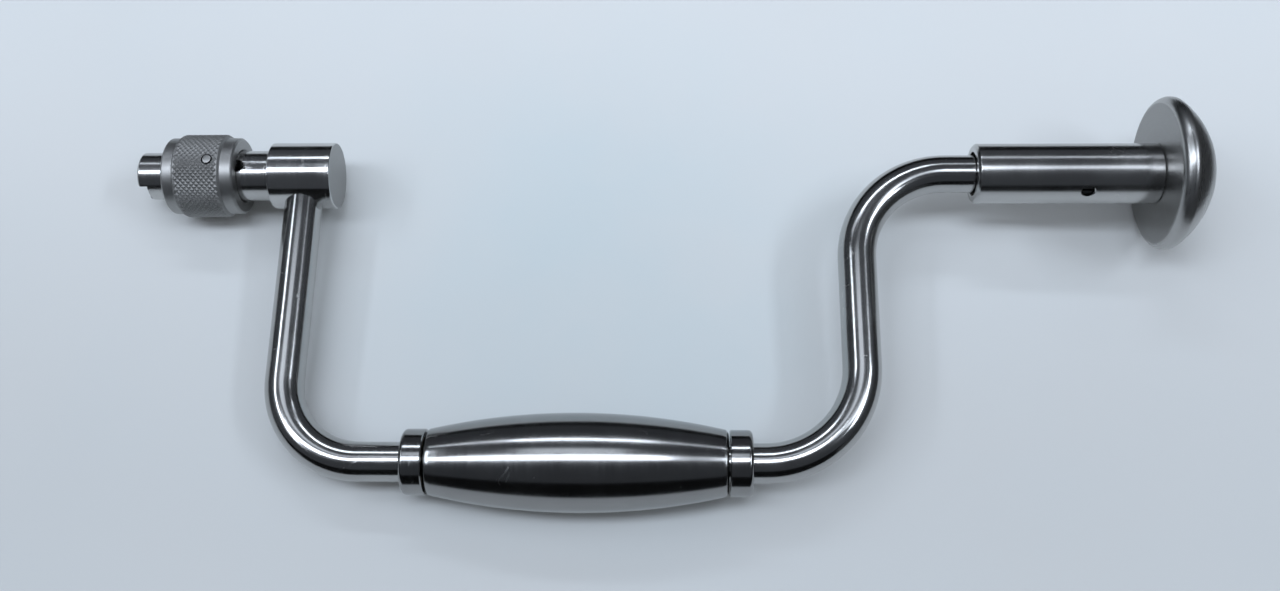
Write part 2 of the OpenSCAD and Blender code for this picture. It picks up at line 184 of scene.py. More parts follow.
class Wire:
    def __init__(self, tree, socket=None):
        self.tree, self.socket = tree, socket

    def node(self, kind, settings=None, inputs=None, output=0):
        made = self.tree.nodes.new(kind)
        for key, value in (settings or {}).items():
            if key == "stops":
                ramp = made.color_ramp
                while len(ramp.elements) > 1:
                    ramp.elements.remove(ramp.elements[-1])
                ramp.elements[0].position, ramp.elements[0].color = value[0]
                for position, colour in value[1:]:
                    ramp.elements.new(position).color = colour
            else:
                setattr(made, key, value)
        for key, value in (inputs or {}).items():
            if isinstance(value, Wire):
                self.tree.links.new(value.socket, made.inputs[key])
            else:
                made.inputs[key].default_value = value
        return Wire(self.tree, made.outputs[output])

    def maths(self, operation, first, second=0.0):
        return self.node("ShaderNodeMath", {"operation": operation}, {0: first, 1: second})

    def __add__(self, other):
        return self.maths("ADD", self, other)

    def __radd__(self, other):
        return self.maths("ADD", other, self)

    def __sub__(self, other):
        return self.maths("SUBTRACT", self, other)

    def __rsub__(self, other):
        return self.maths("SUBTRACT", other, self)

    def __mul__(self, other):
        return self.maths("MULTIPLY", self, other)

    def __rmul__(self, other):
        return self.maths("MULTIPLY", other, self)

    def __gt__(self, other):
        return self.maths("GREATER_THAN", self, other)

    def __lt__(self, other):
        return self.maths("LESS_THAN", self, other)

    def noise(self, scale, detail=3.0, roughness=0.55, spread=0.0):
        return self.node("ShaderNodeTexNoise", None,
                         {"Vector": self, "Scale": scale, "Detail": detail,
                          "Roughness": roughness, "Distortion": spread})

    def placed(self, scale=(1, 1, 1), turn=(0, 0, 0), move=(0, 0, 0)):
        return self.node("ShaderNodeMapping", None,
                         {"Vector": self, "Location": move,
                          "Rotation": [radians(a) for a in turn], "Scale": scale})

    def range(self, low, high, newLow, newHigh, curve="LINEAR"):
        return self.node("ShaderNodeMapRange", {"interpolation_type": curve},
                         {0: self, 1: low, 2: high, 3: newLow, 4: newHigh})

    def blend(self, low, high):  # two colours, mixed by this value
        return self.node("ShaderNodeMix", {"data_type": "RGBA"}, {0: self, 6: low, 7: high}, 2)


def newMaterial(name):
    material = bpy.data.materials.new(name)
    material.use_nodes = True
    return material, Wire(material.node_tree)


def connect(material, **inputs):  # onto the Principled shader, constants set on its own sockets
    shader = material.node_tree.nodes["Principled BSDF"]
    for key, value in inputs.items():
        socket = shader.inputs[key.replace("_", " ")]
        if isinstance(value, Wire):
            material.node_tree.links.new(value.socket, socket)
        else:
            socket.default_value = value
    return material


wearLook = {  # fine lines left by handling, the same on every steel
    "nicks": {"turn": (20, 35, 62), "stretch": (1.0, 0.09, 1.0), "scale": 210.0, "width": 0.016},
    "swirls": {"turn": (75, 10, -38), "stretch": (1.0, 1.0, 0.12), "scale": 320.0, "width": 0.012},
    "patch": 0.6, "grainScale": 2600.0, "toneSpread": 0.05, "wornTone": 1.3,
}


def scratchLines(place, line, cover):  # they show where the noise is above the cover
    lined = place.placed(line["stretch"], line["turn"])
    edge = lined.node("ShaderNodeTexVoronoi", {"feature": "DISTANCE_TO_EDGE"},
                      {"Vector": lined, "Scale": line["scale"], "Randomness": 1.0})
    return (edge < line["width"]) * (place.noise(line["scale"] * wearLook["patch"], 1.0) > cover)


def steelTone(level):  # steel is a little warmer than grey
    return (level * 1.005, level, level * 0.985, 1)


def steelFinish(name, look, lines):  # lines(place) gives the vector that the tool marks follow
    material, sheet = newMaterial(name)
    place = sheet.node("ShaderNodeTexCoord", None, None, "Object")
    marks = lines(sheet, place).noise(1.0, look["markDetail"], 0.65)
    haze = place.noise(look["hazeScale"], 4.0, 0.6)
    grain = place.noise(wearLook["grainScale"], 2.0, 0.5)
    nicks = scratchLines(place, wearLook["nicks"], look["nickCover"])
    swirls = scratchLines(place, wearLook["swirls"], look["nickCover"])
    wear = nicks.maths("MAXIMUM", nicks, swirls)
    spread = wearLook["toneSpread"]
    tone = haze.range(0.3, 0.7, 0.0, 1.0).blend(steelTone(look["tone"] * (1 - spread)),
                                                steelTone(look["tone"] * (1 + spread)))
    tone = (wear * 0.5).blend(tone, steelTone(look["tone"] * wearLook["wornTone"]))
    rough = (marks.range(0.25, 0.75, -1.0, 1.0) * look["markRough"]
             + haze.range(0.3, 0.7, -1.0, 1.0) * look["hazeRough"]
             + wear * look["wearRough"] + look["rough"])
    if "armRough" in look:  # the crank's arms are less finely polished than its shafts
        y = sheet.node("ShaderNodeSeparateXYZ", None, {0: place}, 1)
        gripEnd, shaftEnd = look["gripEnd"], look["shaftEnd"]
        rough = rough + (y.range(gripEnd[0] * mm, gripEnd[1] * mm, 0.0, look["armRough"])
                         - y.range(shaftEnd[0] * mm, shaftEnd[1] * mm, 0.0, look["armRough"]))
    wave = place.noise(look["waveScale"], 1.0, 0.4)
    height = (wave * look["waveHeight"] + marks * look["markHeight"] + grain * look["grainHeight"]
              - wear * look["wearHeight"])
    bump = height.node("ShaderNodeBump", None,
                       {"Height": height, "Strength": 1.0, "Distance": mm})
    return connect(material, Base_Color=tone, Metallic=1.0, Roughness=rough, Normal=bump)


def turningMarks(centreY, pitch):  # rings round a line along X, on its cylinders and its faces
    def lines(sheet, place):
        split = sheet.tree.nodes.new("ShaderNodeSeparateXYZ")
        sheet.tree.links.new(place.socket, split.inputs[0])
        x, y, z = (Wire(sheet.tree, split.outputs[i]) for i in range(3))
        y = y - centreY * mm
        radius = (y * y + z * z).maths("SQRT", y * y + z * z)
        k = 1 / (pitch * mm)
        return sheet.node("ShaderNodeCombineXYZ", None,
                          {0: x * k, 1: radius * k, 2: (y + z) * 45.0})
    return lines


def drawMarks(pitch):  # long lines down the bar, from its own UV map
    def lines(sheet, place):
        run = sheet.node("ShaderNodeUVMap", {"uv_map": "barRun"})
        return run.placed((60.0, 1 / (pitch * mm), 1.0))
    return lines


# Finishes: what a user would change in each

mirrorLook = {
    "tone": 0.50, "rough": 0.15, "markRough": 0.022, "hazeRough": 0.02, "wearRough": 0.10,
    "markDetail": 3.0, "markHeight": 0.0016, "grainHeight": 0.0004, "wearHeight": 0.0012,
    "waveScale": 70.0, "waveHeight": 0.012, "hazeScale": 120.0, "nickCover": 0.68,
}
headLook = dict(mirrorLook, tone=0.60, rough=0.16, markRough=0.04, markHeight=0.0026, hazeRough=0.03)
noseLook = dict(mirrorLook, rough=0.19, markRough=0.05, markHeight=0.0032)
sleeveLook = dict(mirrorLook, tone=0.50, rough=0.21, hazeRough=0.05, hazeScale=45.0, waveHeight=0.018,
                  nickCover=0.73)
gripLook = dict(mirrorLook, tone=0.33, rough=0.17, markRough=0.035, markHeight=0.0024, nickCover=0.71)
stopLook = dict(gripLook, rough=0.16)
barLook = dict(mirrorLook, tone=0.45, rough=0.16, markRough=0.05, markHeight=0.0024, armRough=0.02,
               gripEnd=(-70, -50), shaftEnd=(-16, -6))
satinLook = {
    "tone": 0.345, "rough": 0.42, "markRough": 0.04, "hazeRough": 0.03, "wearRough": 0.05,
    "markDetail": 3.0, "markHeight": 0.003, "grainHeight": 0.003, "wearHeight": 0.002,
    "waveScale": 90.0, "waveHeight": 0.0, "hazeScale": 200.0, "nickCover": 0.66,
}
knurlLook = dict(satinLook, tone=0.325, rough=0.56)
faceLook = dict(satinLook, tone=0.315, rough=0.36)
domeLook = dict(mirrorLook, tone=0.42, rough=0.30, markRough=0.05, markHeight=0.003, hazeRough=0.03,
                grainHeight=0.0012)
innerLook = dict(satinLook, tone=0.40, rough=0.28)
# near-black steel: the screw's own dark oxide, and painted shade where it lines the holes and the
# pin's shoulder
oxideScrewAndHoleShadeLook = dict(satinLook, tone=0.04, rough=0.38)
pinLook = dict(satinLook, tone=0.29, rough=0.42)

mirrorSteel = steelFinish("polishedSteel", mirrorLook, turningMarks(0, 0.35))
noseSteel = steelFinish("polishedNoseSteel", noseLook, turningMarks(0, 0.3))
headSteel = steelFinish("polishedHeadSteel", headLook, turningMarks(0, 0.35))
gripSteel = steelFinish("polishedGripSteel", gripLook, turningMarks(-crankThrow, 0.35))
barSteel = steelFinish("brushedBarSteel", barLook, drawMarks(0.45))
collarSteel = steelFinish("satinCollarSteel", satinLook, turningMarks(0, 0.25))
knurlSteel = steelFinish("satinKnurlSteel", knurlLook, turningMarks(0, 0.4))
faceSteel = steelFinish("turnedFaceSteel", faceLook, turningMarks(0, 0.3))
domeSteel = steelFinish("palmKnobSteel", domeLook, turningMarks(0, 0.4))
innerSteel = steelFinish("groundInnerSteel", innerLook, turningMarks(0, 0.3))
sleeveSteel = steelFinish("handledSleeveSteel", sleeveLook, turningMarks(0, 0.35))
oxideScrewAndHoleShadeSteel = steelFinish("darkScrewAndHoleShadeSteel", oxideScrewAndHoleShadeLook, turningMarks(0, 0.3))
stopSteel = steelFinish("polishedStopSteel", stopLook, turningMarks(-crankThrow, 0.35))
pinSteel = steelFinish("satinPinSteel", pinLook, turningMarks(0, 0.3))


def bronzeFinish(name, centreY, low, high):
    material, sheet = newMaterial(name)
    place = sheet.node("ShaderNodeTexCoord", None, None, "Object")
    marks = turningMarks(centreY, 0.3)(sheet, place).noise(1.0, 3.0)
    stain = place.noise(260.0, 4.0, 0.65)
    tone = stain.range(0.3, 0.7, 0.0, 1.0).blend(low, high)
    bump = marks.node("ShaderNodeBump", None,
                      {"Height": marks, "Strength": 1.0, "Distance": 0.003 * mm})
    return connect(material, Base_Color=tone, Metallic=1.0, Normal=bump,
                   Roughness=stain.range(0.3, 0.7, 0.22, 0.38))


# painted shade: the bushes inside the sleeve get a near-black bronze so that its mouth reads dark
paintedShadeShaftBronze = bronzeFinish("paintedShadeBushBronze", 0, (0.045, 0.034, 0.024, 1), (0.09, 0.065, 0.042, 1))
gripBronze = bronzeFinish("gripBushBronze", -crankThrow, (0.42, 0.26, 0.13, 1), (0.66, 0.45, 0.24, 1))

nodeFinish = {
    "crank_bar": mirrorSteel, "chuck_head": mirrorSteel, "chuck_body": mirrorSteel,
    "locking_collar": collarSteel, "collar_pin": innerSteel, "spring_plunger": innerSteel,
    "collar_spring": innerSteel, "spring_seat": innerSteel, "locking_ball_front": innerSteel,
    "locking_ball_back": innerSteel, "grip_collar_left": gripSteel, "grip_collar_right": gripSteel,
    "grip_barrel": gripSteel, "grip_bush_left": gripBronze, "grip_bush_right": gripBronze,
    "bearing_sleeve": sleeveSteel, "front_bush": paintedShadeShaftBronze, "rear_bush": paintedShadeShaftBronze,
    "retaining_screw": oxideScrewAndHoleShadeSteel, "thrust_ball": innerSteel, "thrust_pad": innerSteel,
    "palm_knob": domeSteel,
}
for nodeName, finish in nodeFinish.items():
    nodes[nodeName].data.materials.clear()
    nodes[nodeName].data.materials.append(finish)
print("finishes made:", len(bpy.data.materials))


# Crank bar: a ring drawn along the left arm, round the bends and out along the knob's shaft

barSizes = {
    "radius": 4.75, "topY": 4.3, "leftX": 42.3, "rightX": 183.4,
    "leftBend": 20, "rightBend": 24, "topBend": 23, "endX": 252.37, "endChamfer": 0.5,
    "around": 64, "bendSteps": 30,
}


def makeCrankBar():
    s = barSizes
    clearSelection()
    bpy.ops.mesh.primitive_circle_add(
        vertices=s["around"], radius=s["radius"] * mm, fill_type="NOTHING",
        location=(s["leftX"] * mm, s["topY"] * mm, 0), rotation=(radians(90), 0, 0))
    bar = startPiece("crankBar")
    low = -crankThrow

    def drawOn(x, y, parts):
        for i in range(parts):
            pushOut(x / parts, y / parts, 0)

    def bendOn(centreX, centreY, turn):
        bpy.ops.mesh.spin(steps=s["bendSteps"], angle=radians(turn),
                          center=(centreX * mm, centreY * mm, 0), axis=(0, 0, -1))

    bpy.ops.mesh.select_all(action="SELECT")
    drawOn(0, low + s["leftBend"] - s["topY"], 8)
    bendOn(s["leftX"] + s["leftBend"], low + s["leftBend"], 90)
    drawOn(s["rightX"] - s["rightBend"] - s["leftX"] - s["leftBend"], 0, 12)
    bendOn(s["rightX"] - s["rightBend"], low + s["rightBend"], 90)
    drawOn(0, -s["topBend"] - low - s["rightBend"], 4)
    bendOn(s["rightX"] + s["topBend"], -s["topBend"], -90)
    drawOn(s["endX"] - s["endChamfer"] - s["rightX"] - s["topBend"], 0, 6)
    pushOut(s["endChamfer"], 0, 0)
    shrink = 1 - s["endChamfer"] / s["radius"]
    bpy.ops.transform.resize(value=(1, shrink, shrink), center_override=(0, 0, 0))
    bpy.ops.mesh.edge_face_add()
    pickVertices(lambda p: p.y > s["topY"] - 0.01)
    bpy.ops.mesh.edge_face_add()
    bpy.ops.mesh.select_all(action="SELECT")
    bpy.ops.mesh.remove_doubles(threshold=0.002 * mm)
    bpy.ops.mesh.normals_make_consistent(inside=False)
    bpy.ops.object.mode_set(mode="OBJECT")
    return bar


def barRun(p):  # how far along the bar a point is, and how far round it, both in metres
    s = barSizes
    low = -crankThrow
    a, b, c = s["leftBend"], s["rightBend"], s["topBend"]
    leftEnd = s["topY"] - low - a
    gripStart = leftEnd + a * pi / 2
    gripLength = s["rightX"] - b - s["leftX"] - a
    armStart = gripStart + gripLength + b * pi / 2
    armLength = -c - low - b
    if p.x < s["leftX"] + a and p.y > low + a:
        run, side = s["topY"] - p.y, s["leftX"] - p.x
    elif p.x < s["leftX"] + a:
        dx, dy = s["leftX"] + a - p.x, low + a - p.y
        run, side = leftEnd + a * atan2(dy, dx), hypot(dx, dy) - a
    elif p.x < s["rightX"] - b:
        run, side = gripStart + p.x - s["leftX"] - a, low - p.y
    elif p.y < low + b:
        dx, dy = p.x - s["rightX"] + b, low + b - p.y
        run, side = gripStart + gripLength + b * atan2(dx, dy), hypot(dx, dy) - b
    elif p.y < -c:
        run, side = armStart + p.y - low - b, p.x - s["rightX"]
    elif p.x < s["rightX"] + c:
        dx, dy = s["rightX"] + c - p.x, p.y + c
        run, side = armStart + armLength + c * atan2(dy, dx), c - hypot(dx, dy)
    else:
        run, side = armStart + armLength + c * pi / 2 + p.x - s["rightX"] - c, -p.y
    return run * mm, atan2(side, p.z)


def unwrapBar(bar):
    sheet = bar.data.uv_layers.new(name="barRun")
    for face in bar.data.polygons:
        found = [barRun(bar.data.vertices[v].co / mm) for v in face.vertices]
        for loop, (run, angle) in zip(face.loop_indices, found):
            if angle < 0 and max(a for r, a in found) > 2:  # the face that closes the ring
                angle += 2 * pi
            sheet.data[loop].uv = (run, angle * barSizes["radius"] * mm)


crankBar = makeCrankBar()
unwrapBar(crankBar)
smoothOver(crankBar)
paint(crankBar, barSteel)
fit(crankBar, "crank", "polished_steel", "crank_bar")
print("crank bar drawn:", len(crankBar.data.polygons), "faces")


# Chuck head: a turned cross head, its socket cut for the bar's end

headSizes = {
    "frontX": 34.2, "backX": 50.4, "radius": 8.5, "edge": 0.4,
    "spigotRadius": 5.02, "spigotEnd": 37.7, "socketRadius": 4.77, "socketTop": 4.5, "socketReach": 12,
}


def makeChuckHead():
    s = headSizes
    head = turned("chuckHead", [
        (s["spigotEnd"], 0), (s["spigotEnd"], s["spigotRadius"]), (s["frontX"], s["spigotRadius"]),
        (s["frontX"], s["radius"]), (s["backX"], s["radius"]), (s["backX"], 0)], steps=144)
    bpy.ops.object.mode_set(mode="EDIT")
    pickEdges(lambda a, b: abs(a.x - b.x) < 0.01
              and min(hypot(a.y, a.z), hypot(b.y, b.z)) > s["radius"] - 0.05)
    bpy.ops.mesh.bevel(offset=s["edge"] * mm, segments=4, affect="EDGES", clamp_overlap=False)
    bpy.ops.object.mode_set(mode="OBJECT")
    depth = s["socketTop"] + s["socketReach"]
    cutWith(head, rod(barSizes["leftX"], s["socketTop"] - depth / 2, 0, s["socketRadius"], depth,
                      (90, 0, 0), 96))
    return head


chuckHead = makeChuckHead()
smoothOver(chuckHead)
paint(chuckHead, headSteel)
paint(chuckHead, faceSteel, lambda p, n: abs(n.x) > 0.95)
fit(chuckHead, "crank", "polished_steel", "chuck_head")


# Chuck body: nose with its driving notch, ball holes, and the long slot behind the collar

bodySizes = {
    "noseRadius": 6.05, "bodyRadius": 6.5, "stepX": 23.54, "backX": 34.2, "noseChamfer": 0.5,
    "boreRadius": 3.2, "shankDepth": 11.54, "tailRadius": 3.0, "boreDepth": 16.84,
    "springBore": 2.9, "springBoreX": 17.975, "spigotRadius": 5, "spigotEnd": 37.3,
    "notchWidth": 7.8, "notchDepth": 2.4, "notchReach": 3.6,
    "slotWidth": 3.3, "slotX": 17.975, "slotEnd": 27.625, "slotRounding": 0.45,
    "ballX": 14.24, "ballHole": 1.9, "ballLip": 3.4, "ballLipRadius": 1.653, "cutThrough": 16,
}


def softenSlot(body, x, side, angle):  # a cone round the slot's end, its wall leaning by the angle
    s = bodySizes
    fillet, reach = s["slotRounding"], 0.6
    wide = s["slotWidth"] / 2 + fillet * (1 - sin(angle) + (1 - cos(angle)) / tan(angle))
    spread = reach / tan(angle)
    clearSelection()
    bpy.ops.mesh.primitive_cone_add(
        vertices=64, radius1=(wide - spread) * mm, radius2=(wide + spread) * mm, depth=2 * reach * mm,
        location=(x * mm, 0, side * s["bodyRadius"] * mm), rotation=(0, 0 if side > 0 else pi, 0))
    cutWith(body, bpy.context.object)


def makeChuckBody():
    s = bodySizes
    body = turned("chuckBody", [
        (s["boreDepth"], 0), (s["boreDepth"], s["tailRadius"]), (s["shankDepth"], s["tailRadius"]),
        (s["shankDepth"], s["boreRadius"]), (0, s["boreRadius"]),
        (0, s["noseRadius"] - s["noseChamfer"]), (s["noseChamfer"], s["noseRadius"]),
        (s["stepX"], s["noseRadius"]), (s["stepX"], s["bodyRadius"]), (s["backX"], s["bodyRadius"]),
        (s["backX"], s["spigotRadius"]), (s["spigotEnd"], s["spigotRadius"]),
        (s["spigotEnd"], s["springBore"]), (s["springBoreX"], s["springBore"]), (s["springBoreX"], 0)])
    roundEdges(body, 0.1, 2)
    slotMiddle = (s["slotX"] + s["slotEnd"]) / 2
    slotReach = (s["slotEnd"] - s["slotX"] - s["slotWidth"]) / 2
    for end in (-1, 1):
        cutWith(body, rod(slotMiddle + end * slotReach, 0, 0, s["slotWidth"] / 2, s["cutThrough"],
                          vertices=48))
    cutWith(body, brick(slotMiddle, 0, 0, 2 * slotReach, s["slotWidth"], s["cutThrough"]))
    for side in (-1, 1):
        for angle in (22.5, 45, 67.5):  # the slot's open end is rounded over
            softenSlot(body, slotMiddle + slotReach, side, radians(angle))
        cutWith(body, rod(s["ballX"], side * (s["ballLip"] + 3), 0, s["ballHole"], 6, (90, 0, 0), 48))
        cutWith(body, rod(s["ballX"], side * 3.5, 0, s["ballLipRadius"], 3, (90, 0, 0), 48))
    cutWith(body, brick(s["notchDepth"] / 2 - 0.5, -s["noseRadius"] - 1 + (s["notchReach"] + 1) / 2, 0,
                        s["notchDepth"] + 1, s["notchReach"] + 1, s["notchWidth"]))
    applyModifier(body, "TRIANGULATE", min_vertices=5)
    return body


chuckBody = makeChuckBody()
smoothOver(chuckBody)
paint(chuckBody, noseSteel)
paint(chuckBody, innerSteel, lambda p, n: hypot(p.y, p.z) < 5.0 and p.x > 0.5)
fit(chuckBody, "crank", "polished_steel", "chuck_body")
print("chuck head and body made")


# Locking collar: turned rings, with a band of diamond knurl between them

collarSizes = {
    "frontX": 7.6, "knurlX": 10.55, "knurlEnd": 22.85, "backX": 26.0,
    "ringRadius": 9.8, "knurlRadius": 10.7, "edge": 0.5, "knurlChamfer": 0.72,
    "mouthRadius": 7.119, "rampEnd": 15.24, "guideRadius": 6.1, "guideEnd": 17.24,
    "boreRadius": 6.55, "boreChamfer": 0.4, "pinX": 19.775, "pinHole": 1.42,
    "diamondsAround": 46, "rowsAlong": 17, "knurlDepth": 0.30, "diamondFlat": 0.15, "bandWall": 0.9,
    "cutThrough": 30,
}


def makeCollarRings():
    s = collarSizes
    under = s["knurlRadius"] - s["knurlDepth"] - 0.25
    rings = turned("lockingCollar", [
        (s["frontX"], s["mouthRadius"]), (s["frontX"], s["ringRadius"] - s["edge"]),
        (s["frontX"] + s["edge"], s["ringRadius"]), (s["knurlX"], s["ringRadius"]),
        (s["knurlX"] + 0.5, under), (s["knurlEnd"] - 0.5, under), (s["knurlEnd"], s["ringRadius"]),
        (s["backX"] - s["edge"], s["ringRadius"]), (s["backX"], s["ringRadius"] - s["edge"]),
        (s["backX"], s["boreRadius"] + s["boreChamfer"]),
        (s["backX"] - s["boreChamfer"], s["boreRadius"]),
        (s["guideEnd"], s["boreRadius"]), (s["guideEnd"], s["guideRadius"]),
        (s["rampEnd"], s["guideRadius"]), (s["frontX"], s["mouthRadius"])], steps=144)
    roundEdges(rings, 0.12, 3)
    return rings


def makeKnurl():
    s = collarSizes
    valley = s["knurlRadius"] - s["knurlDepth"]
    slope = (valley - s["ringRadius"]) / (s["knurlRadius"] - s["ringRadius"])
    start = s["knurlX"] + s["knurlChamfer"] * slope
    pitch = (s["knurlX"] + s["knurlEnd"] - 2 * start) / s["rowsAlong"]
    rows = [(start + pitch * i, valley) for i in range(s["rowsAlong"] + 1)]
    inner, edge = valley - s["bandWall"], s["ringRadius"] + 0.01
    front = [(s["knurlX"], inner), (s["knurlX"], edge)]
    back = [(s["knurlEnd"], edge), (s["knurlEnd"], inner), (s["knurlX"], inner)]
    knurl = turned("collarKnurl", front + rows + back, steps=2 * s["diamondsAround"])
    bpy.ops.object.mode_set(mode="EDIT")
    step = pi / s["diamondsAround"]

    def isPeak(p):
        row = (p.x - start) / pitch
        if hypot(p.y, p.z) < valley - 0.1 or not 0.5 < row < s["rowsAlong"] - 0.5:
            return False
        return (round(row) + round(atan2(p.z, p.y) / step)) % 2 == 1

    pickVertices(isPeak)
    grow = (s["knurlRadius"] + 0.04) / valley
    bpy.ops.transform.resize(value=(1, grow, grow), center_override=(0, 0, 0))
    end = start + pitch * s["rowsAlong"]
    pickFaces(lambda p, n: hypot(p.y, p.z) > valley - 0.1 and start < p.x < end)
    bpy.ops.mesh.quads_convert_to_tris(quad_method="SHORTEST_DIAGONAL")
    pickVertices(lambda p: isPeak(p) and hypot(p.y, p.z) > s["knurlRadius"] - 0.1)
    bpy.ops.mesh.bevel(offset=s["diamondFlat"] * mm, affect="VERTICES", segments=1)
    bpy.ops.object.mode_set(mode="OBJECT")
    return knurl


def inPinHole(p, n):
    s = collarSizes
    return hypot(p.x - s["pinX"], p.y) < s["pinHole"] + 0.02 and abs(n.z) < 0.3


def makeLockingCollar():
    s = collarSizes
    rings, knurl = makeCollarRings(), makeKnurl()
    for shell in (rings, knurl):
        cutWith(shell, rod(s["pinX"], 0, 0, s["pinHole"], s["cutThrough"], vertices=48))
    smoothOver(rings)
    paint(rings, collarSteel)
    # painted shade on the walls of the pin's hole, in the rings and in the knurl
    paint(rings, oxideScrewAndHoleShadeSteel, inPinHole)
    clearSelection()
    knurl.select_set(True)
    bpy.context.view_layer.objects.active = knurl
    bpy.ops.object.shade_smooth_by_angle(angle=radians(20))
    paint(knurl, knurlSteel)
    paint(knurl, oxideScrewAndHoleShadeSteel, inPinHole)
    clearSelection()
    knurl.select_set(True)
    rings.select_set(True)
    bpy.context.view_layer.objects.active = rings
    bpy.ops.object.join()
    return rings


lockingCollar = makeLockingCollar()
fit(lockingCollar, "lock_collar", "satin_steel", "locking_collar")
print("locking collar knurled:", len(lockingCollar.data.polygons), "faces")


# Cross pin: its two domed tips stand in the collar's holes

pinSizes = {"x": collarSizes["pinX"], "radius": 1.4, "end": 9.9, "tipRadius": 1.06,
            "domeHeight": 0.13, "top": 10.8, "paintedShadeBelow": 10.45}


def makeCollarPin():
    s = pinSizes
    clearSelection()
    bpy.ops.mesh.primitive_cylinder_add(vertices=48, radius=s["radius"] * mm, depth=2 * s["end"] * mm,
                                        location=(s["x"] * mm, 0, 0))
    pin = startPiece("collarPin")
    ball = (s["tipRadius"] ** 2 + s["domeHeight"] ** 2) / (2 * s["domeHeight"])
    for side in (-1, 1):
        pickFaces(lambda p, n: n.z * side > 0.9)
        bpy.ops.mesh.inset(thickness=(s["radius"] - s["tipRadius"]) * mm)
        pushOut(0, 0, side * (s["top"] - s["domeHeight"] - s["end"]))
        height, radius = 0, s["tipRadius"]
        for i in range(1, 8):
            tilt = acos((ball - s["domeHeight"]) / ball) * (1 - i / 7.5)
            nextHeight = ball * cos(tilt) - (ball - s["domeHeight"])
            pushOut(0, 0, side * (nextHeight - height))
            bpy.ops.transform.resize(value=(ball * sin(tilt) / radius,) * 2 + (1,),
                                     center_override=(s["x"] * mm, 0, 0))
            height, radius = nextHeight, ball * sin(tilt)
    bpy.ops.object.mode_set(mode="OBJECT")
    return pin


collarPin = makeCollarPin()
smoothOver(collarPin, 40)
paint(collarPin, pinSteel)
# painted shade on the pin's shoulder, down in the gap round its tip
paint(collarPin, oxideScrewAndHoleShadeSteel, lambda p, n: abs(p.z) < pinSizes["paintedShadeBelow"])
fit(collarPin, "lock_collar", "hardened_steel", "collar_pin")


# Stop collars on the grip shaft, rounded on their outer edges

stopSizes = {"radius": 7.9, "boreRadius": 4.77, "length": 5.4, "rounding": 1.1, "chamfer": 0.25,
             "leftX": 73.2, "rightX": 151.0}


def makeStopCollar(name, outerX, way):  # way is +1 where the rounded edge faces -X
    s = stopSizes
    rounded = [(s["rounding"] * (1 - cos(a)), s["radius"] - s["rounding"] * (1 - sin(a)))
               for a in (pi / 2 * i / 10 for i in range(11))]
    outline = [(0, s["boreRadius"])] + rounded + [
        (s["length"] - s["chamfer"], s["radius"]), (s["length"], s["radius"] - s["chamfer"]),
        (s["length"], s["boreRadius"]), (0, s["boreRadius"])]
    return turned(name, [(outerX + way * x, r) for x, r in outline], -crankThrow)


for stopName, stopX, stopWay in (
        ("gripCollarLeft", stopSizes["leftX"], 1),
        ("gripCollarRight", stopSizes["rightX"] + stopSizes["length"], -1)):
    stopCollar = makeStopCollar(stopName, stopX, stopWay)
    smoothOver(stopCollar, 40)
    paint(stopCollar, stopSteel)
    fit(stopCollar, "crank", "polished_steel",
        "grip_collar_left" if stopWay > 0 else "grip_collar_right")


# Barrel grip: one long arc between its two edge breaks

barrelSizes = {"x": 78.9, "length": 71.8, "middleRadius": 11.85, "endRadius": 7.8, "edge": 0.6,
               "boreRadius": 6.1}


def makeBarrel():
    s = barrelSizes
    half, sag = s["length"] / 2, s["middleRadius"] - s["endRadius"]
    arc = (half ** 2 + sag ** 2) / (2 * sag)
    outline = []
    for i in range(61):
        x = -half + s["edge"] + (s["length"] - 2 * s["edge"]) * i / 60
        outline.append((s["x"] + half + x, s["middleRadius"] - arc + sqrt(arc ** 2 - x ** 2)))
    face, back = s["endRadius"] - s["edge"], s["x"] + s["length"]
    return turned("gripBarrel", [(s["x"], s["boreRadius"]), (s["x"], face)] + outline
                  + [(back, face), (back, s["boreRadius"]), (s["x"], s["boreRadius"])],
                  -crankThrow, 160)


gripBarrel = makeBarrel()
roundEdges(gripBarrel, 0.08, 2)
smoothOver(gripBarrel)
paint(gripBarrel, gripSteel)
fit(gripBarrel, "grip", "polished_steel", "grip_barrel")
print("grip made")


# Bearing sleeve, with the retaining screw's hole

sleeveSizes = {
    "x": 213.7, "endX": 259.8, "radius": 7.65, "boreRadius": 6.15, "mouthRadius": 5.6,
    "mouthChamfer": 0.7, "lip": 1.6, "rearChamfer": 0.3,
    "screwX": 241.2, "screwAngle": 59.7, "screwHole": 1.62, "holeChamfer": 0.22,
    "holeMiddle": 7, "holeLength": 5,
}


def inScrewHole(p, n):
    s = sleeveSizes
    tilt = radians(s["screwAngle"])
    height = p.z * cos(tilt) - p.y * sin(tilt)
    away = hypot(p.x - s["screwX"], p.y * cos(tilt) + p.z * sin(tilt))
    return height > 5 and away < s["screwHole"] + 0.02


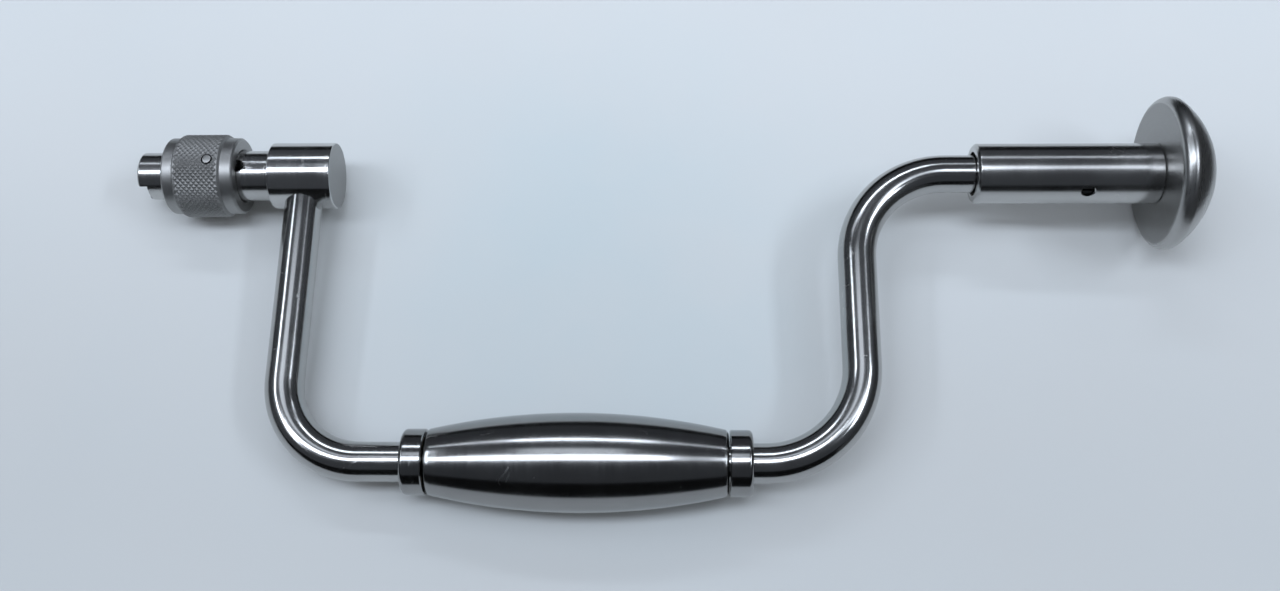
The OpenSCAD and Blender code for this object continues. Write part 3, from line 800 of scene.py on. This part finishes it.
def makeSleeve():
    s = sleeveSizes
    sleeve = turned("bearingSleeve", [
        (s["x"], s["mouthRadius"]), (s["x"], s["radius"] - s["mouthChamfer"]),
        (s["x"] + s["mouthChamfer"], s["radius"]), (s["endX"] - s["rearChamfer"], s["radius"]),
        (s["endX"], s["radius"] - s["rearChamfer"]), (s["endX"], s["boreRadius"]),
        (s["x"] + s["lip"], s["boreRadius"]), (s["x"] + s["lip"], s["mouthRadius"]),
        (s["x"], s["mouthRadius"])], steps=144)
    roundEdges(sleeve, 0.12, 3)
    tilt = radians(s["screwAngle"])
    cutWith(sleeve, rod(s["screwX"], -s["holeMiddle"] * sin(tilt), s["holeMiddle"] * cos(tilt),
                        s["screwHole"], s["holeLength"], (s["screwAngle"], 0, 0), 48))
    clearSelection()
    reach = s["screwHole"] + s["holeChamfer"] + 2  # a 45 degree countersink
    middle = s["radius"] - s["holeChamfer"] - s["screwHole"] + reach / 2
    bpy.ops.mesh.primitive_cone_add(
        vertices=48, radius1=0, radius2=reach * mm, depth=reach * mm,
        location=(s["screwX"] * mm, -middle * sin(tilt) * mm, middle * cos(tilt) * mm),
        rotation=(tilt, 0, 0))
    cutWith(sleeve, bpy.context.object)
    return sleeve


bearingSleeve = makeSleeve()
smoothOver(bearingSleeve)
paint(bearingSleeve, sleeveSteel)
# painted shade on the walls of the screw's hole
paint(bearingSleeve, oxideScrewAndHoleShadeSteel, inScrewHole)
fit(bearingSleeve, "palm_rest", "polished_steel", "bearing_sleeve")


# Retaining screw: slotted grub screw with a dog point

screwSizes = {"radius": 1.6, "top": 6.95, "shoulder": 5.55, "dogRadius": 0.9, "dogEnd": 3.9,
              "edge": 0.2, "slotWidth": 0.56, "slotDepth": 0.7}


def makeScrew():
    s = screwSizes
    clearSelection()
    bpy.ops.mesh.primitive_cylinder_add(
        vertices=48, radius=s["radius"] * mm, depth=(s["top"] - s["shoulder"]) * mm,
        location=(0, 0, (s["top"] + s["shoulder"]) / 2 * mm))
    screw = startPiece("retainingScrew")
    pickFaces(lambda p, n: n.z < -0.9)
    bpy.ops.mesh.inset(thickness=(s["radius"] - s["dogRadius"]) * mm)
    pushOut(0, 0, s["dogEnd"] - s["shoulder"])
    pickEdges(lambda a, b: a.z > s["top"] - 0.01 and b.z > s["top"] - 0.01)
    bpy.ops.mesh.bevel(offset=s["edge"] * mm, segments=3, affect="EDGES")
    bpy.ops.object.mode_set(mode="OBJECT")
    cutWith(screw, brick(0, 0, s["top"] - s["slotDepth"] + 0.5, 6, s["slotWidth"], 1))
    clearSelection()
    screw.select_set(True)
    bpy.context.view_layer.objects.active = screw
    screw.rotation_euler = (radians(sleeveSizes["screwAngle"]), 0, 0)
    screw.location = (sleeveSizes["screwX"] * mm, 0, 0)
    bpy.ops.object.transform_apply(location=True, rotation=True, scale=True)
    return screw


retainingScrew = makeScrew()
smoothOver(retainingScrew)
paint(retainingScrew, oxideScrewAndHoleShadeSteel)
fit(retainingScrew, "palm_rest", "hardened_steel", "retaining_screw")
print("bearing sleeve and screw made")


# Palm knob: flat underside, rounded rim, one sphere for the dome

knobSizes = {
    "x": 259.8, "radius": 19.35, "height": 13.3, "rim": 2.4,
    "spigotX": 253.8, "spigotRadius": 6.13, "spigotChamfer": 0.4, "boreRadius": 2.43, "boreEnd": 258.2,
}


def makePalmKnob():
    s = knobSizes
    rimRadius = s["radius"] - s["rim"]
    dome = (((s["height"] - s["rim"]) ** 2 + rimRadius ** 2 - s["rim"] ** 2)
            / (2 * (s["height"] - 2 * s["rim"])))
    sink = dome - s["height"]
    meet = atan2(rimRadius, s["rim"] + sink)
    rim = [(s["x"] + s["rim"] + s["rim"] * cos(a), rimRadius + s["rim"] * sin(a))
           for a in (pi - (pi - meet) * i / 20 for i in range(21))]
    cap = [(s["x"] - sink + dome * cos(a), dome * sin(a))
           for a in (meet * (1 - i / 44) for i in range(1, 44))]
    return turned("palmKnob", [
        (s["boreEnd"], 0), (s["boreEnd"], s["boreRadius"]), (s["spigotX"], s["boreRadius"]),
        (s["spigotX"], s["spigotRadius"] - s["spigotChamfer"]),
        (s["spigotX"] + s["spigotChamfer"], s["spigotRadius"]), (s["x"], s["spigotRadius"])]
        + rim + cap + [(s["x"] + s["height"], 0)], steps=160)


palmKnob = makePalmKnob()
smoothOver(palmKnob)
paint(palmKnob, domeSteel)
paint(palmKnob, faceSteel, lambda p, n: n.x < -0.95)
fit(palmKnob, "palm_rest", "knob_steel", "palm_knob")
print("palm knob made")


# Table, lights and camera

stageLook = {
    "floorColour": (0.631, 0.661, 0.672), "coolColour": (0.563, 0.640, 0.667),
    "warmColour": (0.639, 0.657, 0.662), "coolPlace": (0.118, -0.018, -0.012),
    "coolNear": 0.015, "coolFar": 0.085, "floorRough": 0.5, "floorSize": 24.0,
    # painted light: the floor's colour is scaled darker toward the front and the left and lighter
    # toward the back, standing in for the light falling off across the table
    "leftPaintedShade": 0.94, "frontPaintedShade": 0.935, "backPaintedLight": 1.225,
    "leftX": -0.04, "rightX": 0.28, "frontY": -0.09, "backY": 0.075,
    "cloudScale": 22.0, "blotchScale": 9.0, "blotch": 0.015,
    "speckScale": 30.0, "speckSize": 0.011, "speckPatch": 14.0, "speckCover": 0.55, "speckDark": 0.45,
    "floorDrop": -0.010309, "slopeX": -0.03459, "slopeY": -0.03119,
    "roomColour": (0.99, 0.985, 1.0), "roomLight": 0.21,
    "mirroredColour": (0.87, 0.965, 1.12), "mirroredLight": 0.066,
    "backdropColour": (0.61, 0.68, 0.76), "backdropMiddle": (0.137, -0.035, -0.012),
    "backdropNear": 0.22, "backdropFar": 1.1,
    "lampColour": (0.895, 0.98, 1.105),
    "flagSink": 0.06,
    "lens": 34.27, "sensor": 36, "cameraPlace": (0.13921, -0.12971, 0.28723),
    "cameraTurn": (18.660, 1.777, 0.620), "cameraNear": 0.01, "cameraFar": 60,
}
flagLook = {  # place, size, top edge and brightness of the boards that only the metal shows
    "flagBack": ((0.13, 0.112), (4.0, 0.004), 0.028, 0.015),
    "flagFront": ((0.13, -0.19), (4.0, 0.004), 0.074, 0.012),
    "flagRight": ((0.318, -0.07), (0.004, 0.36), 0.05, 0.08),
}
lampLook = {  # place, point it faces, length and width, brightness, turn in degrees
    "lampTop": ((-0.27, -0.062, 1.60), (-0.27, -0.05, 0), (1.66, 0.30), 7.8, 3.2),
    "lampTopJoint": ((0.73, -0.006, 1.60), (0.73, 0.01, 0), (0.34, 0.30), 1.1, 3.2),
    "lampTopRight": ((1.16, 0.018, 1.60), (1.16, 0.03, 0), (0.52, 0.30), 3.3, 3.2),
    "lampBack": ((0.01, 1.07, 1.21), (0.01, -0.04, 0), (0.86, 0.10), 10.0, 0),
    "lampBackLeft": ((-0.735, 1.07, 1.21), (-0.735, -0.04, 0), (0.63, 0.10), 3.2, 0),
    "lampBackJoint": ((0.66, 1.07, 1.21), (0.66, -0.04, 0), (0.44, 0.10), 1.9, 0),
    "lampBackRight": ((1.07, 1.07, 1.21), (1.07, -0.04, 0), (0.36, 0.10), 4.4, 0),
    "lampLeft": ((-1.08, 0.11, 1.30), (0.13, -0.04, 0), (0.15, 1.10), 8.2, 0),
    "lampRight": ((1.32, -0.02, 1.26), (0.13, -0.04, 0), (0.18, 0.76), 11.5, 0),
    "lampRightEnd": ((1.32, 0.57, 1.26), (0.13, -0.04, 0), (0.16, 0.28), 0.8, 0),
    "lampGlow": ((-0.05, 0.40, 1.62), (-0.05, 0.0, 0), (0.68, 0.34), 1.2, 0),
}


def floorHeight(x, y):
    return stageLook["floorDrop"] + stageLook["slopeX"] * x + stageLook["slopeY"] * y


def makeFloor():
    clearSelection()
    bpy.ops.mesh.primitive_grid_add(x_subdivisions=12, y_subdivisions=12, size=stageLook["floorSize"])
    floor = startPiece("tableTop")
    bpy.ops.object.mode_set(mode="OBJECT")
    for vertex in floor.data.vertices:
        vertex.co.z = floorHeight(vertex.co.x, vertex.co.y)
    material, sheet = newMaterial("paleTable")
    place = sheet.node("ShaderNodeTexCoord", None, None, "Object")
    cloud = place.noise(stageLook["cloudScale"], 3.0, 0.5)
    blotch = stageLook["blotch"]
    x = sheet.node("ShaderNodeSeparateXYZ", None, {0: place}, 0)
    y = sheet.node("ShaderNodeSeparateXYZ", None, {0: place}, 1)
    # painted light: darker toward the front and the left, lighter toward the back, times the table's
    # own random blotches; the specks below are its own dust
    paintedFalloffAndMottle = (y.range(stageLook["frontY"], stageLook["backY"],
                     stageLook["frontPaintedShade"], stageLook["backPaintedLight"], "SMOOTHSTEP")
             * x.range(stageLook["leftX"], stageLook["rightX"], stageLook["leftPaintedShade"], 1.0)
             * place.noise(stageLook["blotchScale"], 4.0, 0.5).range(0.3, 0.7, 1 - blotch, 1 + blotch))
    away = sheet.node("ShaderNodeVectorMath", {"operation": "DISTANCE"},
                      {0: place, 1: stageLook["coolPlace"]}, 1)
    cool = away.range(stageLook["coolNear"], stageLook["coolFar"], 1.0, 0.0)
    tone = cool.blend(stageLook["floorColour"] + (1,), stageLook["coolColour"] + (1,))
    tone = cloud.range(0.35, 0.65, 0.0, 0.5).blend(tone, stageLook["warmColour"] + (1,))
    cell = sheet.node("ShaderNodeTexVoronoi", None,
                      {"Vector": place, "Scale": stageLook["speckScale"]})
    patch = place.noise(stageLook["speckPatch"], 1.0)
    speck = (cell < stageLook["speckSize"]) * (patch > stageLook["speckCover"])
    paintedFalloffAndMottle = paintedFalloffAndMottle * (1 - speck * stageLook["speckDark"])
    far = place.node("ShaderNodeVectorMath", {"operation": "DISTANCE"},
                     {0: place, 1: stageLook["backdropMiddle"]}, 1)
    far = far.range(stageLook["backdropNear"], stageLook["backdropFar"], 0.0, 1.0, "SMOOTHSTEP")
    far = far * sheet.node("ShaderNodeLightPath", None, None, "Is Camera Ray")
    tone = sheet.node("ShaderNodeVectorMath", {"operation": "SCALE"},
                      {0: tone, "Scale": paintedFalloffAndMottle * (1 - far)})
    glow = sheet.node("ShaderNodeVectorMath", {"operation": "SCALE"},
                      {0: stageLook["backdropColour"], "Scale": far})
    paint(floor, connect(material, Base_Color=tone, Roughness=stageLook["floorRough"],
                         Specular_IOR_Level=0.3, Emission_Color=glow, Emission_Strength=1.0))
    return floor


def makeFlag(name, middle, size, top, cloth):
    clearSelection()
    x, y = middle
    low = floorHeight(x, y) - stageLook["flagSink"]
    bpy.ops.mesh.primitive_cube_add(size=1, location=(x, y, (low + top) / 2))
    bpy.context.object.scale = size + (top - low,)
    flag = startPiece(name)
    bpy.ops.object.mode_set(mode="OBJECT")
    flag.visible_camera = flag.visible_diffuse = flag.visible_shadow = False
    flag.visible_transmission = flag.visible_volume_scatter = False
    material, sheet = newMaterial(name + "Cloth")
    weave = sheet.node("ShaderNodeTexCoord", None, None, "Object").noise(300.0)
    tone = weave.blend((cloth * 0.8,) * 3 + (1,), (cloth * 1.2,) * 3 + (1,))
    paint(flag, connect(material, Base_Color=tone, Roughness=0.9, Specular_IOR_Level=0.0))
    return flag


def makeLamp(name, place, target, size, brightness, turn):
    clearSelection()
    bpy.ops.object.light_add(type="AREA", location=place)
    lamp = bpy.context.object
    lamp.name = lamp.data.name = name
    lamp.data.shape = "RECTANGLE"
    lamp.data.size, lamp.data.size_y = size
    lamp.data.energy = brightness * pi * size[0] * size[1]
    lamp.data.color = stageLook["lampColour"]
    lamp.visible_camera = False
    lamp.rotation_euler = lampTurn(Vector(place) - Vector(target), turn)
    return lamp


def lampTurn(away, turn):  # its face toward the target, its length kept level and along X
    back = away.normalized()
    side = Vector((cos(radians(turn)), sin(radians(turn)), 0))
    if abs(back.x) > 0.5:
        side = Vector((back.z, 0, -back.x))
    side = (side - back * side.dot(back)).normalized()
    rise = back.cross(side)
    return Matrix((side, rise, back)).transposed().to_euler()


floor = makeFloor()
flags = [makeFlag(flagName, *setting) for flagName, setting in flagLook.items()]
for lampName, setting in lampLook.items():
    makeLamp(lampName, *setting)

scene = bpy.context.scene
world = bpy.data.worlds.new("studioRoom")
scene.world = world
world.use_nodes = True
sky = Wire(world.node_tree)
mirrored = sky.node("ShaderNodeLightPath", None, None, "Is Glossy Ray")
seen = sky.node("ShaderNodeLightPath", None, None, "Is Camera Ray")
backdrop = world.node_tree.nodes["Background"]
roomTone = mirrored.blend(stageLook["roomColour"] + (1,), stageLook["mirroredColour"] + (1,))
roomPower = mirrored.range(0, 1, stageLook["roomLight"], stageLook["mirroredLight"])
world.node_tree.links.new(
    seen.blend(roomTone, stageLook["backdropColour"] + (1,)).socket, backdrop.inputs["Color"])
world.node_tree.links.new(seen.range(0, 1, roomPower, 1.0).socket, backdrop.inputs["Strength"])
scene.view_settings.view_transform = "Standard"

clearSelection()
bpy.ops.object.camera_add(location=stageLook["cameraPlace"],
                          rotation=[radians(a) for a in stageLook["cameraTurn"]])
camera = bpy.context.object
camera.name = "photoCamera"
camera.data.lens, camera.data.sensor_width = stageLook["lens"], stageLook["sensor"]
camera.data.clip_start, camera.data.clip_end = stageLook["cameraNear"], stageLook["cameraFar"]
scene.camera = camera
print("table, lamps and camera set")
